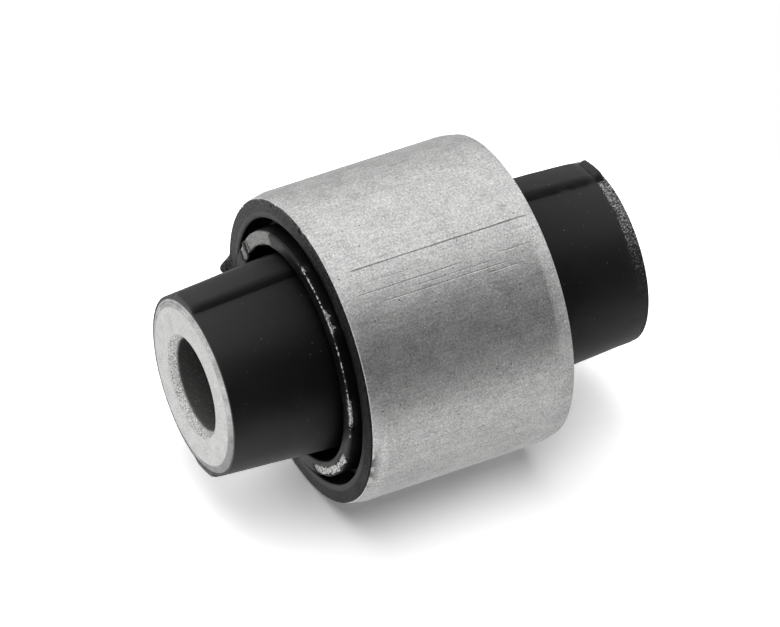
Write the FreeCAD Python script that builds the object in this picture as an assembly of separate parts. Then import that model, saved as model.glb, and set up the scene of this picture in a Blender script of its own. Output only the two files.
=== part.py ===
import FreeCAD, Part
import math
import os

# Rubber metal bush, standing on one end with its axis along +Z. All lengths are millimetres, all angles degrees.
# The origin is the centre of the lower end face. The moulded ribs lie on the Y axis.

# Overall length of the inner sleeve, which is the length of the bush
total_length = 60.4

# Inner sleeve: thick steel tube for an M12 bolt
bolt_bore = 12.4
bore_countersink = 14.2
countersink_depth = 1.2
inner_sleeve_diameter = 23.5
end_face_diameter = 21.3
end_bevel_depth = 0.3
spread_end_diameter = 24.5
spread_end_length = 1.9

# Outer sleeve: steel tube that is pressed into the arm's eye
outer_diameter = 42.0
outer_sleeve_wall = 2.2
outer_sleeve_length = 29.0
lead_in_length = 2.0
lead_in_depth = 0.4

# Intermediate ring: rolled steel strip midway between the coat and the lining, with a seam
ring_wall = 1.8
ring_reach = 0.85
ring_edge_cut = 0.35
ring_seam_width = 0.35
ring_seam_angle = 43.0

# Rubber moulding
end_film = 0.27
film_margin = 0.1
lining = 0.8
lower_coat_diameter = 24.2
upper_coat_diameter = 24.9
coat_root_diameter = 26.3
ring_skin = 0.15
inner_groove_depth = 5.0
outer_groove_depth = 4.0

# Ribs along the coat, one on each side
rib_height = 0.85
rib_sweep = 30.0
rib_end_setback = 0.2
rib_floor_gap = 1.2
rib_corner_cut = 0.4
rib_angles = (90.0, 270.0)

# Windows in the ring's skin, where the steel shows at the ends
window_sweep = 44.0
window_depth = 0.6
window_angles = (54.0, 234.0)

# Torn flash on the lower end's film
flash_angle = 8.0
flash_sweep = 9.0
flash_width = 1.3
flash_height = 0.8

# Heights that follow from the sizes above
middle = total_length / 2
sleeve_low = middle - outer_sleeve_length / 2
sleeve_high = middle + outer_sleeve_length / 2
face_low = sleeve_low - end_film
face_high = sleeve_high + end_film
ring_low = face_low - ring_reach
ring_high = face_high + ring_reach
crest_low = ring_low - ring_skin
crest_high = ring_high + ring_skin
coat_low = end_bevel_depth
coat_high = total_length - spread_end_length

# Radii that follow from the sizes above
sleeve_radius = inner_sleeve_diameter / 2
outer_radius = outer_diameter / 2
housing_radius = outer_radius - outer_sleeve_wall
film_radius = outer_radius - lead_in_depth - film_margin
lining_radius = housing_radius - lining
coat_root_radius = coat_root_diameter / 2
ring_middle_radius = (coat_root_radius + lining_radius) / 2
ring_outer_radius = ring_middle_radius + ring_wall / 2
ring_inner_radius = ring_middle_radius - ring_wall / 2
skin_outer_radius = ring_outer_radius + ring_skin
skin_inner_radius = ring_inner_radius - ring_skin

UP = FreeCAD.Vector(0, 0, 1)
ORIGIN = FreeCAD.Vector(0, 0, 0)


# A closed outline in the radius-height plane. Each corner is its radius, its height and how far it is cut back.
def outline(corners):
    points = []
    for index, (radius, height, cut) in enumerate(corners):
        corner = FreeCAD.Vector(radius, 0, height)
        if cut == 0:
            points.append(corner)
            continue
        for other in (corners[index - 1], corners[(index + 1) % len(corners)]):
            along = FreeCAD.Vector(other[0], 0, other[1]) - corner
            points.append(corner + along.normalize() * cut)
    return Part.Face(Part.makePolygon(points + points[:1]))


def turned(corners):
    return outline(corners).revolve(ORIGIN, UP, 360)


# The outline turned through part of a circle, centred on a direction
def turned_sector(corners, direction, sweep):
    sector = outline(corners).revolve(ORIGIN, UP, sweep)
    sector.rotate(ORIGIN, UP, direction - sweep / 2)
    return sector


def box_corners(inner, outer, low, high, cut=0.0):
    return [(inner, low, cut), (outer, low, cut), (outer, high, cut), (inner, high, cut)]


# Radius of the coat at a height: conical outside the recesses, and straight inside them
def coat_radius(height):
    if face_low <= height <= face_high:
        return coat_root_radius
    if height < middle:
        end, share = lower_coat_diameter / 2, (height - coat_low) / (face_low - coat_low)
    else:
        end, share = upper_coat_diameter / 2, (coat_high - height) / (coat_high - face_high)
    return end + (coat_root_radius - end) * share


def inner_sleeve():
    bore = bolt_bore / 2
    mouth = bore_countersink / 2
    flat = end_face_diameter / 2
    spread = spread_end_diameter / 2
    return turned([
        (bore, countersink_depth, 0),
        (mouth, 0, 0),
        (flat, 0, 0),
        (sleeve_radius, end_bevel_depth, 0),
        (sleeve_radius, coat_high, 0),
        (spread, coat_high, 0),
        (spread, total_length - end_bevel_depth, 0),
        (flat, total_length, 0),
        (mouth, total_length, 0),
        (bore, total_length - countersink_depth, 0),
    ])


def outer_sleeve():
    tip = outer_radius - lead_in_depth
    return turned([
        (housing_radius, sleeve_low, 0),
        (tip, sleeve_low, 0),
        (outer_radius, sleeve_low + lead_in_length, 0),
        (outer_radius, sleeve_high - lead_in_length, 0),
        (tip, sleeve_high, 0),
        (housing_radius, sleeve_high, 0),
    ])


def intermediate_ring():
    ring = turned(box_corners(ring_inner_radius, ring_outer_radius, ring_low, ring_high, ring_edge_cut))
    seam = Part.makeBox(2 * ring_wall, ring_seam_width, total_length)
    seam.translate(FreeCAD.Vector(ring_inner_radius - ring_wall / 2, -ring_seam_width / 2, 0))
    seam.rotate(ORIGIN, UP, ring_seam_angle)
    return ring.cut(seam)


# The whole moulding without its ribs: coat, recesses at both ends, cover of the ring, lining and end films
def moulding():
    inner_low = face_low + inner_groove_depth
    inner_high = face_high - inner_groove_depth
    outer_low = face_low + outer_groove_depth
    outer_high = face_high - outer_groove_depth
    return turned([
        (sleeve_radius, coat_low, 0),
        (coat_radius(coat_low), coat_low, 0),
        (coat_root_radius, face_low, 0),
        (coat_root_radius, inner_low, 0),
        (skin_inner_radius, inner_low, 0),
        (skin_inner_radius, crest_low, ring_edge_cut),
        (skin_outer_radius, crest_low, ring_edge_cut),
        (skin_outer_radius, outer_low, 0),
        (lining_radius, outer_low, 0),
        (lining_radius, face_low, 0),
        (film_radius, face_low, 0),
        (film_radius, sleeve_low, 0),
        (housing_radius, sleeve_low, 0),
        (housing_radius, sleeve_high, 0),
        (film_radius, sleeve_high, 0),
        (film_radius, face_high, 0),
        (lining_radius, face_high, 0),
        (lining_radius, outer_high, 0),
        (skin_outer_radius, outer_high, 0),
        (skin_outer_radius, crest_high, ring_edge_cut),
        (skin_inner_radius, crest_high, ring_edge_cut),
        (skin_inner_radius, inner_high, 0),
        (coat_root_radius, inner_high, 0),
        (coat_root_radius, face_high, 0),
        (coat_radius(coat_high), coat_high, 0),
        (sleeve_radius, coat_high, 0),
    ])


# Cross-section of a rib at a height: it follows the coat, and its two outer corners are cut
def rib_section(height, rise):
    inside = (inner_sleeve_diameter + lower_coat_diameter) / 4
    outside = coat_radius(height) + rise
    half = math.radians(rib_sweep / 2)
    corner = rib_corner_cut / outside
    polar = [(inside, -half), (outside - rib_corner_cut, -half), (outside, corner - half), (outside, 0.0)]
    polar += [(outside, half - corner), (outside - rib_corner_cut, half), (inside, half)]
    points = [FreeCAD.Vector(r * math.cos(a), r * math.sin(a), height) for r, a in polar]
    return Part.makePolygon(points + points[:1])


# One rib on one half of the coat, from near the end over the edge of the recess and down into it
def rib(direction, tip, edge, root):
    past_tip = tip + math.copysign(rib_corner_cut, root - tip)
    sections = [rib_section(tip, rib_height - rib_corner_cut)]
    sections += [rib_section(height, rib_height) for height in (past_tip, edge, root)]
    strip = Part.makeLoft(sections, True, True)
    strip.rotate(ORIGIN, UP, direction)
    return strip


# The ribs stop short of the end bevels. At the upper end they reach past the coat, over the spread end
def ribs():
    lower_tip = end_bevel_depth + rib_end_setback
    upper_tip = total_length - end_bevel_depth - rib_end_setback
    lower_root = face_low + inner_groove_depth - rib_floor_gap
    upper_root = face_high - inner_groove_depth + rib_floor_gap
    halves = ((lower_tip, face_low, lower_root), (upper_tip, face_high, upper_root))
    return [rib(angle, *heights) for angle in rib_angles for heights in halves]


# What is cut from the skin at the ring's ends, so that the steel shows
def windows():
    inner = skin_inner_radius - ring_skin
    outer = skin_outer_radius + ring_skin
    heights = ((crest_low - ring_skin, ring_low + window_depth), (ring_high - window_depth, crest_high + ring_skin))
    return [
        turned_sector(box_corners(inner, outer, low, high), angle, window_sweep)
        for angle in window_angles
        for low, high in heights
    ]


def flash():
    tip = film_radius - flash_width / 4
    return turned_sector([
        (film_radius - flash_width, face_low, 0),
        (tip, face_low - flash_height, 0),
        (film_radius, face_low - flash_height / 2, 0),
        (film_radius, sleeve_low, 0),
        (film_radius - flash_width, sleeve_low, 0),
    ], flash_angle, flash_sweep)


def rubber_body():
    body = moulding().fuse(ribs() + [flash()])
    for window in windows():
        body = body.cut(window)
    for metal in (intermediate_ring(), inner_sleeve()):
        body = body.cut(metal)
    return body.removeSplitter()


def export(name, shape):
    if shape.ShapeType != "Solid":
        shape = shape.Solids[0] if len(shape.Solids) == 1 else shape
    print(name, "solids", len(shape.Solids), "valid", shape.isValid(), "volume", round(shape.Volume, 1))
    shape.exportStep(os.path.join("parts", name + ".step"))


os.makedirs("parts", exist_ok=True)
export("inner_sleeve", inner_sleeve())
export("rubber_body", rubber_body())
export("intermediate_ring", intermediate_ring())
export("outer_sleeve", outer_sleeve())
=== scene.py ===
import math

import bmesh
import bpy
import numpy as np
from mathutils import Matrix, Vector, noise


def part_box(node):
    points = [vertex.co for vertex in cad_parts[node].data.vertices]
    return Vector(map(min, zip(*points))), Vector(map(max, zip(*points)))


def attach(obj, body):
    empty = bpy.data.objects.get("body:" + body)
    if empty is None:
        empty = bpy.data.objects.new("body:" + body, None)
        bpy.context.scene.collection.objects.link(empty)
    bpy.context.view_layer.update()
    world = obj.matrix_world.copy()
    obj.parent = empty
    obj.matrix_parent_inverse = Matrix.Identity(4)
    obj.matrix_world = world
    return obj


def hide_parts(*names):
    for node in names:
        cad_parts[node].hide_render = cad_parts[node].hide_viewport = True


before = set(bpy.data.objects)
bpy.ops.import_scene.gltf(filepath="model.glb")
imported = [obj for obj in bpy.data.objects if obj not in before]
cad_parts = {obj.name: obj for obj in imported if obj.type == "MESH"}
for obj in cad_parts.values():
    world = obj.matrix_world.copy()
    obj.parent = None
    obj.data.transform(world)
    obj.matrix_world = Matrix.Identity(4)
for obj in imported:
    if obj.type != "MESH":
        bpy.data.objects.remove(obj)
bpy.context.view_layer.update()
mm = 0.001

# A rubber metal bush that stands on one end, with its axis along Z. The part frame is in metres.
# Polar angles run from X towards Y, in degrees. Sizes in the dictionaries are millimetres.

sleeveLow, sleeveHigh = (corner.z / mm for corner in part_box("outer_sleeve"))
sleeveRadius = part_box("outer_sleeve")[1].y / mm
tubeLow, tubeHigh = (corner.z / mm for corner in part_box("inner_sleeve"))
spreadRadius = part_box("inner_sleeve")[1].y / mm
ringLow, ringHigh = (corner.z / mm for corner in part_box("intermediate_ring"))
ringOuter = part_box("intermediate_ring")[1].y / mm
rubberLow, ribHigh = (corner.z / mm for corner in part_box("rubber_body"))
middle = (tubeLow + tubeHigh) / 2


# Adds a node with its settings, its constants and its links, and gives back one of its outputs
def addNode(tree, kind, settings=None, inputs=None, output=0):
    made = tree.nodes.new(kind)
    for name, value in (settings or {}).items():
        setattr(made, name, value)
    for key, value in (inputs or {}).items():
        if isinstance(value, bpy.types.NodeSocket):
            tree.links.new(value, made.inputs[key])
        else:
            made.inputs[key].default_value = value
    return made.outputs[output] if len(made.outputs) else made


# sRGB hex to linear
def linear(hexColour):
    parts = [int(hexColour[i:i + 2], 16) / 255 for i in (1, 3, 5)]
    return [p / 12.92 if p <= 0.04045 else ((p + 0.055) / 1.055) ** 2.4 for p in parts] + [1.0]


def direction(polar, elevation=0.0):
    a, e = math.radians(polar), math.radians(elevation)
    return Vector((math.cos(a) * math.cos(e), math.sin(a) * math.cos(e), math.sin(e)))


# Camera: the bush lies across the picture, with its lower end towards the viewer
camera = {"lens": 355.95, "distance": 999.65, "polar": -33.4773, "elevation": 20.2899, "roll": 71.8714,
          "centreRight": 1.43, "centreDown": 0.60}


def makeCamera():
    forward = direction(camera["polar"], camera["elevation"])
    level = forward.cross(Vector((0, 0, 1))).normalized()
    roll = math.radians(camera["roll"])
    right = level * math.cos(roll) + level.cross(forward) * math.sin(roll)
    up = right.cross(forward)
    centre = Vector((0, 0, middle))
    place = centre - forward * camera["distance"] - right * camera["centreRight"] + up * camera["centreDown"]
    data = bpy.data.cameras.new("camera")
    data.lens = camera["lens"]
    data.clip_start, data.clip_end = 0.05, 20
    made = bpy.data.objects.new("camera", data)
    made.matrix_world = Matrix.Translation(place * mm) @ Matrix((right, up, -forward)).transposed().to_4x4()
    bpy.context.scene.collection.objects.link(made)
    bpy.context.scene.camera = made


makeCamera()
print("camera set")

# Studio: a white world, a pale table behind the lying bush, a pale floor under the standing one, and dark flags.
# The cards come out over white where no shadow falls, as in a product photograph that cuts its object out on white
studio = {"tablePolar": 100.3, "tableRadius": 80, "tableFade": 22, "floorRadius": 170, "floorFade": 90,
          "floorHole": 10.65, "tableToCamera": 1.8, "floorToCamera": 2.6, "shadeLevel": 0.12, "circleSteps": 96,
          "flagMargin": 6, "lampDistance": 650, "lampSize": 620}

# Lamps: polar angle, elevation and watts
lamps = {"front": (118.0, -4.0, 2.7), "back": (45.0, -6.0, 3.1), "top": (0.0, 90.0, 1.2)}

# Dark flags that metal and rubber mirror: polar angle, elevation, half width, soft edge, how grey the cloth is, and
# how far from the bush it stands
darkFlags = {"nearFlag": (171.0, 6.0, 43.0, 15.0, 0.12, 800.0), "farFlag": (3.0, 20.0, 24.0, 18.0, 0.55, 810.0),
             "lowFlag": (292.0, 48.0, 52.0, 16.0, 0.54, 820.0)}


def blankMaterial(name):
    material = bpy.data.materials.new(name)
    material.use_nodes = True
    material.node_tree.nodes.clear()
    return material, material.node_tree


# Shows a cloth where it is wanted, and nothing elsewhere
def showWhere(tree, shown, cloth):
    clear = addNode(tree, "ShaderNodeBsdfTransparent")
    surface = addNode(tree, "ShaderNodeMixShader", None, {0: shown, 1: clear, 2: cloth})
    addNode(tree, "ShaderNodeOutputMaterial", None, {"Surface": surface})


# Pale card that shows only from its front and only to the camera, so it takes the shadow and lights nothing. It fades
# out at its edge, and the white world goes on behind it
def paleCard(name, level, edge, fade):
    material, tree = blankMaterial(name)
    place = addNode(tree, "ShaderNodeTexCoord", output="Object")
    away = addNode(tree, "ShaderNodeVectorMath", {"operation": "LENGTH"}, {0: place}, "Value")
    path = addNode(tree, "ShaderNodeLightPath").node.outputs
    seen = addNode(tree, "ShaderNodeMath", {"operation": "ADD", "use_clamp": True},
                   {0: path["Is Camera Ray"], 1: path["Is Transmission Ray"]})
    back = addNode(tree, "ShaderNodeNewGeometry", output="Backfacing")
    seen = addNode(tree, "ShaderNodeMath", {"operation": "SUBTRACT", "use_clamp": True}, {0: seen, 1: back})
    shown = addNode(tree, "ShaderNodeMapRange", {"interpolation_type": "SMOOTHSTEP"},
                    {"Value": away, "From Min": edge * mm, "From Max": (edge - fade) * mm})
    shown = addNode(tree, "ShaderNodeMath", {"operation": "MULTIPLY"}, {0: shown, 1: seen})
    showWhere(tree, shown, addNode(tree, "ShaderNodeBsdfDiffuse", None, {"Color": (level, level, level, 1)}))
    return material


# Dark flag: part of a big shell, dark at its centre and clear past a soft edge
def flagCloth(name, centre, half, soft, grey):
    material, tree = blankMaterial(name)
    place = addNode(tree, "ShaderNodeTexCoord", output="Object")
    place = addNode(tree, "ShaderNodeVectorMath", {"operation": "NORMALIZE"}, {0: place})
    near = addNode(tree, "ShaderNodeVectorMath", {"operation": "DOT_PRODUCT"}, {0: place, 1: centre}, "Value")
    outer, inner = (math.cos(math.radians(angle)) for angle in (half + soft, half - soft))
    cover = addNode(tree, "ShaderNodeMapRange", {"interpolation_type": "SMOOTHSTEP"},
                    {"Value": near, "From Min": outer, "From Max": inner})
    showWhere(tree, cover, addNode(tree, "ShaderNodeEmission", None, {"Strength": grey}))
    return material


def addMesh(name, bm, material=None):
    mesh = bpy.data.meshes.new(name)
    bm.to_mesh(mesh)
    bm.free()
    made = bpy.data.objects.new(name, mesh)
    bpy.context.scene.collection.objects.link(made)
    if material is not None:
        mesh.materials.append(material)
    return made


def makeStudio():
    world = bpy.data.worlds.new("whiteStudio")
    world.use_nodes = True
    tree = world.node_tree
    path = addNode(tree, "ShaderNodeLightPath").node.outputs
    # White where metal mirrors it for the camera, but not where metal would throw it on to the table
    mirrored = addNode(tree, "ShaderNodeMath", {"operation": "SUBTRACT", "use_clamp": True},
                       {0: path["Is Glossy Ray"], 1: path["Diffuse Depth"]})
    seen = addNode(tree, "ShaderNodeMath", {"operation": "ADD"}, {0: path["Is Camera Ray"], 1: mirrored})
    seen = addNode(tree, "ShaderNodeMath", {"operation": "ADD", "use_clamp": True},
                   {0: seen, 1: path["Is Transmission Ray"]})
    level = addNode(tree, "ShaderNodeMapRange", None, {"Value": seen, "To Min": studio["shadeLevel"], "To Max": 1.0})
    tree.nodes["Background"].inputs["Color"].default_value = (1, 1, 1, 1)
    tree.links.new(level, tree.nodes["Background"].inputs["Strength"])
    bpy.context.scene.world = world

    normal = direction(studio["tablePolar"])
    along = normal.cross(Vector((0, 0, 1)))
    steps = studio["circleSteps"]
    bm = bmesh.new()
    bmesh.ops.create_circle(bm, cap_ends=True, segments=steps, radius=studio["tableRadius"] * mm)
    tableCard = paleCard("tableCard", studio["tableToCamera"], studio["tableRadius"], studio["tableFade"])
    table = addMesh("table", bm, tableCard)
    place = Vector((0, 0, middle)) - normal * sleeveRadius
    facing = Matrix((along, normal.cross(along), normal)).transposed().to_4x4()
    table.matrix_world = Matrix.Translation(place * mm) @ facing

    bm = bmesh.new()
    rings = []
    for radius in (studio["floorHole"], studio["floorRadius"]):
        rings.append([bm.verts.new(direction(360 * i / steps) * radius * mm) for i in range(steps)])
    for i in range(steps):
        j = (i + 1) % steps
        bm.faces.new((rings[0][i], rings[1][i], rings[1][j], rings[0][j]))
    floorCard = paleCard("floorCard", studio["floorToCamera"], studio["floorRadius"], studio["floorFade"])
    addMesh("floor", bm, floorCard)

    for name, (polar, elevation, half, soft, grey, radius) in darkFlags.items():
        bm = bmesh.new()
        bmesh.ops.create_uvsphere(bm, u_segments=steps, v_segments=steps // 2, radius=radius * mm)
        centre = direction(polar, elevation)
        limit = math.cos(math.radians(half + soft + studio["flagMargin"]))
        far = [f for f in bm.faces if f.calc_center_median().normalized().dot(centre) < limit]
        bmesh.ops.delete(bm, geom=far, context="FACES")
        flag = addMesh(name, bm, flagCloth(name, centre, half, soft, grey))
        flag.matrix_world = Matrix.Translation((0, 0, middle * mm))
        flag.visible_camera = flag.visible_diffuse = flag.visible_shadow = False

    for name, (polar, elevation, watts) in lamps.items():
        data = bpy.data.lights.new(name, "AREA")
        data.shape = "DISK"
        data.size = studio["lampSize"] * mm
        data.energy = watts
        towards = direction(polar, elevation)
        lamp = bpy.data.objects.new(name, data)
        lamp.location = Vector((0, 0, middle * mm)) + towards * studio["lampDistance"] * mm
        lamp.rotation_euler = towards.to_track_quat("Z", "Y").to_euler()
        lamp.visible_glossy = False
        bpy.context.scene.collection.objects.link(lamp)


makeStudio()
print("studio set")


# Turned forms: degrees in a step of a rounding, degrees from which an edge is sharp, how a rib's flank bends, and how
# near points are welded
turning = {"roundingStep": 18.0, "sharpFrom": 38.0, "flankBend": 1.6, "weld": 0.0001}


# Outline of a turned piece, in the radius-height plane. Each corner is its radius, its height, its rounding and,
# where the run after it is cut up, the longest step along that run
def outline(corners):
    flat = [Vector(corner[:2]) for corner in corners]
    points = []
    for index, corner in enumerate(flat):
        rounding = corners[index][2]
        start = len(points)
        if rounding == 0:
            points.append(corner)
        else:
            back = (flat[index - 1] - corner).normalized()
            ahead = (flat[(index + 1) % len(flat)] - corner).normalized()
            half = back.angle(ahead) / 2
            centre = corner + (back + ahead).normalized() * rounding / math.sin(half)
            reach = rounding / math.tan(half)
            first, last = corner + back * reach - centre, corner + ahead * reach - centre
            steps = max(2, math.ceil((math.pi - 2 * half) / math.radians(turning["roundingStep"])))
            points += [centre + first.lerp(last, k / steps).normalized() * rounding for k in range(steps + 1)]
        if index and len(corners[index - 1]) > 3:
            begin, end = points[start - 1], points[start]
            cuts = math.ceil((end - begin).length / corners[index - 1][3])
            points[start:start] = [begin.lerp(end, k / cuts) for k in range(1, cuts)]
    return points


# Turns a closed outline about Z. Ribs rise on the Y axis where they are asked for, and waves move the skin a little
def turnTree():
    tree = bpy.data.node_groups.new("turnedForm", "GeometryNodeTree")
    face = tree.interface
    face.new_socket("Outline", in_out="INPUT", socket_type="NodeSocketGeometry")
    kinds = {"Steps": "Int", "Finish": "Material"}
    for name in ("Steps", "Start", "Sweep", "Rib Height", "Rib Lean", "Rib Half", "Rib Flat", "Rib Low", "Rib High",
                 "Rib End", "Recess Low", "Recess High", "Coat Limit", "Wave Height", "Wave Size", "Seed", "Finish"):
        face.new_socket(name, in_out="INPUT", socket_type="NodeSocket" + kinds.get(name, "Float"))
    face.new_socket("Geometry", in_out="OUTPUT", socket_type="NodeSocketGeometry")
    given = addNode(tree, "NodeGroupInput").node.outputs

    # The grid of the tree: a column for each step round the axis, a row for each point of the outline
    count = addNode(tree, "GeometryNodeAttributeDomainSize", {"component": "MESH"}, {"Geometry": given["Outline"]})
    rows = addNode(tree, "ShaderNodeMath", {"operation": "ADD"}, {0: count, 1: 1.0})
    columns = addNode(tree, "ShaderNodeMath", {"operation": "ADD"}, {0: given["Steps"], 1: 1.0})
    grid = addNode(tree, "GeometryNodeMeshGrid", None, {"Vertices X": columns, "Vertices Y": rows})
    index = addNode(tree, "ShaderNodeMath", {"operation": "ADD"}, {0: addNode(tree, "GeometryNodeInputIndex"), 1: 0.5})
    column = addNode(tree, "ShaderNodeMath", {"operation": "DIVIDE"}, {0: index, 1: rows})
    column = addNode(tree, "ShaderNodeMath", {"operation": "FLOOR"}, {0: column})
    row = addNode(tree, "ShaderNodeMath", {"operation": "MODULO"}, {0: index, 1: rows})
    row = addNode(tree, "ShaderNodeMath", {"operation": "MODULO"}, {0: row, 1: count})
    row = addNode(tree, "FunctionNodeFloatToInt", {"rounding_mode": "FLOOR"}, {0: row})
    place = addNode(tree, "GeometryNodeInputPosition")
    sample = addNode(tree, "GeometryNodeSampleIndex", {"data_type": "FLOAT_VECTOR", "domain": "POINT"},
                     {"Geometry": given["Outline"], "Value": place, "Index": row})
    point = addNode(tree, "ShaderNodeSeparateXYZ", None, {0: sample}).node.outputs
    finish = addNode(tree, "ShaderNodeMath", {"operation": "ADD"}, {0: given["Start"], 1: given["Sweep"]})
    angle = addNode(tree, "ShaderNodeMapRange", {"clamp": False},
                    {"Value": column, "From Max": given["Steps"], "To Min": given["Start"], "To Max": finish})

    # Rib: full height near its middle, a curved flank down to its edge, and a rounded tip at each end
    aside = addNode(tree, "ShaderNodeMath", {"operation": "ADD"}, {0: angle, 1: given["Rib Lean"]})
    for operation in ("COSINE", "ABSOLUTE", "ARCSINE"):
        aside = addNode(tree, "ShaderNodeMath", {"operation": operation}, {0: aside})
    across = addNode(tree, "ShaderNodeMapRange", None,
                     {"Value": aside, "From Min": given["Rib Flat"], "From Max": given["Rib Half"]})
    across = addNode(tree, "ShaderNodeMath", {"operation": "POWER"}, {0: across, 1: turning["flankBend"]})
    shoulder = addNode(tree, "ShaderNodeMath", {"operation": "SUBTRACT"}, {0: 1.0, 1: across})
    low = addNode(tree, "ShaderNodeMath", {"operation": "SUBTRACT"}, {0: point["Z"], 1: given["Rib Low"]})
    high = addNode(tree, "ShaderNodeMath", {"operation": "SUBTRACT"}, {0: given["Rib High"], 1: point["Z"]})
    tip = addNode(tree, "ShaderNodeMath", {"operation": "MINIMUM"}, {0: low, 1: high})
    low = addNode(tree, "ShaderNodeMath", {"operation": "SUBTRACT"}, {0: given["Recess Low"], 1: point["Z"]})
    high = addNode(tree, "ShaderNodeMath", {"operation": "SUBTRACT"}, {0: point["Z"], 1: given["Recess High"]})
    floorGap = addNode(tree, "ShaderNodeMath", {"operation": "MAXIMUM"}, {0: low, 1: high})
    tip = addNode(tree, "ShaderNodeMath", {"operation": "MINIMUM"}, {0: tip, 1: floorGap})
    past = addNode(tree, "ShaderNodeMapRange", None, {"Value": tip, "From Min": given["Rib End"], "From Max": 0.0})
    past = addNode(tree, "ShaderNodeMath", {"operation": "POWER"}, {0: past, 1: 2.0})
    past = addNode(tree, "ShaderNodeMath", {"operation": "SUBTRACT"}, {0: 1.0, 1: past})
    ending = addNode(tree, "ShaderNodeMath", {"operation": "SQRT"}, {0: past})
    onCoat = addNode(tree, "ShaderNodeMath", {"operation": "LESS_THAN"}, {0: point["X"], 1: given["Coat Limit"]})
    rise = addNode(tree, "ShaderNodeMath", {"operation": "MULTIPLY"}, {0: given["Rib Height"], 1: shoulder})
    rise = addNode(tree, "ShaderNodeMath", {"operation": "MULTIPLY"}, {0: rise, 1: ending})
    radius = addNode(tree, "ShaderNodeMath", {"operation": "MULTIPLY_ADD"}, {0: rise, 1: onCoat, 2: point["X"]})
    flat = addNode(tree, "ShaderNodeCombineXYZ", None, {0: radius, 2: point["Z"]})
    turned = addNode(tree, "ShaderNodeVectorRotate", {"rotation_type": "Z_AXIS"}, {"Vector": flat, "Angle": angle})
    form = addNode(tree, "GeometryNodeSetPosition", None, {"Geometry": grid, "Position": turned})
    form = addNode(tree, "GeometryNodeMergeByDistance", None, {"Geometry": form, "Distance": turning["weld"] * mm})

    size = addNode(tree, "ShaderNodeMath", {"operation": "DIVIDE"}, {0: 1.0, 1: given["Wave Size"]})
    wave = addNode(tree, "ShaderNodeTexNoise", {"noise_dimensions": "4D"},
                   {"Vector": place, "W": given["Seed"], "Scale": size, "Detail": 2.0})
    wave = addNode(tree, "ShaderNodeMath", {"operation": "SUBTRACT"}, {0: wave, 1: 0.5})
    wave = addNode(tree, "ShaderNodeMath", {"operation": "MULTIPLY"}, {0: wave, 1: given["Wave Height"]})
    normal = addNode(tree, "GeometryNodeInputNormal")
    shift = addNode(tree, "ShaderNodeVectorMath", {"operation": "SCALE"}, {0: normal, "Scale": wave})
    form = addNode(tree, "GeometryNodeSetPosition", None, {"Geometry": form, "Offset": shift})
    form = addNode(tree, "GeometryNodeRealizeInstances", None, {"Geometry": form})
    form = addNode(tree, "GeometryNodeSetMaterial", None, {"Geometry": form, "Material": given["Finish"]})
    addNode(tree, "NodeGroupOutput", None, {"Geometry": form})
    return tree


turnedForm = turnTree()


# Runs the tree on an outline and keeps the result as a plain mesh, closed and with its faces outwards
def turn(name, corners, values):
    bm = bmesh.new()
    points = [bm.verts.new((p.x * mm, 0, p.y * mm)) for p in outline(corners)]
    for i, point in enumerate(points):
        bm.edges.new((point, points[(i + 1) % len(points)]))
    piece = addMesh(name, bm)
    modifier = piece.modifiers.new("turn", "NODES")
    modifier.node_group = turnedForm
    given = {"Start": 0.0, "Sweep": math.tau, "Rib Height": 0.0, "Rib Lean": 0.0, "Rib Half": 0.2, "Rib Flat": 0.1,
             "Rib Low": 0.0, "Rib High": 1.0, "Rib End": 0.001, "Recess Low": 1.0, "Recess High": -1.0,
             "Coat Limit": 0.0, "Wave Height": 0.0, "Wave Size": 1.0, "Seed": 0.0}
    given.update(values)
    for item in turnedForm.interface.items_tree:
        if item.name in given:
            modifier[item.identifier] = given[item.name]
    graph = bpy.context.evaluated_depsgraph_get()
    mesh = bpy.data.meshes.new_from_object(piece.evaluated_get(graph))
    piece.modifiers.clear()
    bm = bmesh.new()
    bm.from_mesh(mesh)
    rim = [edge for edge in bm.edges if edge.is_boundary]
    if rim:
        bmesh.ops.holes_fill(bm, edges=rim, sides=0)
    bmesh.ops.recalc_face_normals(bm, faces=bm.faces)
    bm.to_mesh(mesh)
    bm.free()
    mesh.name = name
    piece.data = mesh
    return piece


def finishPiece(piece, node):
    piece.data.shade_smooth()
    piece.data.set_sharp_from_angle(angle=math.radians(turning["sharpFrom"]))
    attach(piece, "root")
    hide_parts(node)
    print(piece.name, len(piece.data.polygons), "faces")


# Where a point of the surface lies: its place, its height, its distance from the axis and its direction from there
def placesOf(tree):
    place = addNode(tree, "ShaderNodeTexCoord", output="Object")
    up = addNode(tree, "ShaderNodeSeparateXYZ", None, {0: place}, "Z")
    flatPlace = addNode(tree, "ShaderNodeVectorMath", {"operation": "MULTIPLY"}, {0: place, 1: (1, 1, 0)})
    radius = addNode(tree, "ShaderNodeVectorMath", {"operation": "LENGTH"}, {0: flatPlace}, "Value")
    outwards = addNode(tree, "ShaderNodeVectorMath", {"operation": "NORMALIZE"}, {0: flatPlace})
    return place, up, radius, outwards


# Fades across the bush, by how far a place lies towards a polar angle
def fadeTowards(tree, place, polar, fade):
    side = addNode(tree, "ShaderNodeVectorMath", {"operation": "DOT_PRODUCT"}, {0: place, 1: direction(polar)}, "Value")
    return addNode(tree, "ShaderNodeMapRange", None, {"Value": side, **fade})


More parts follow.
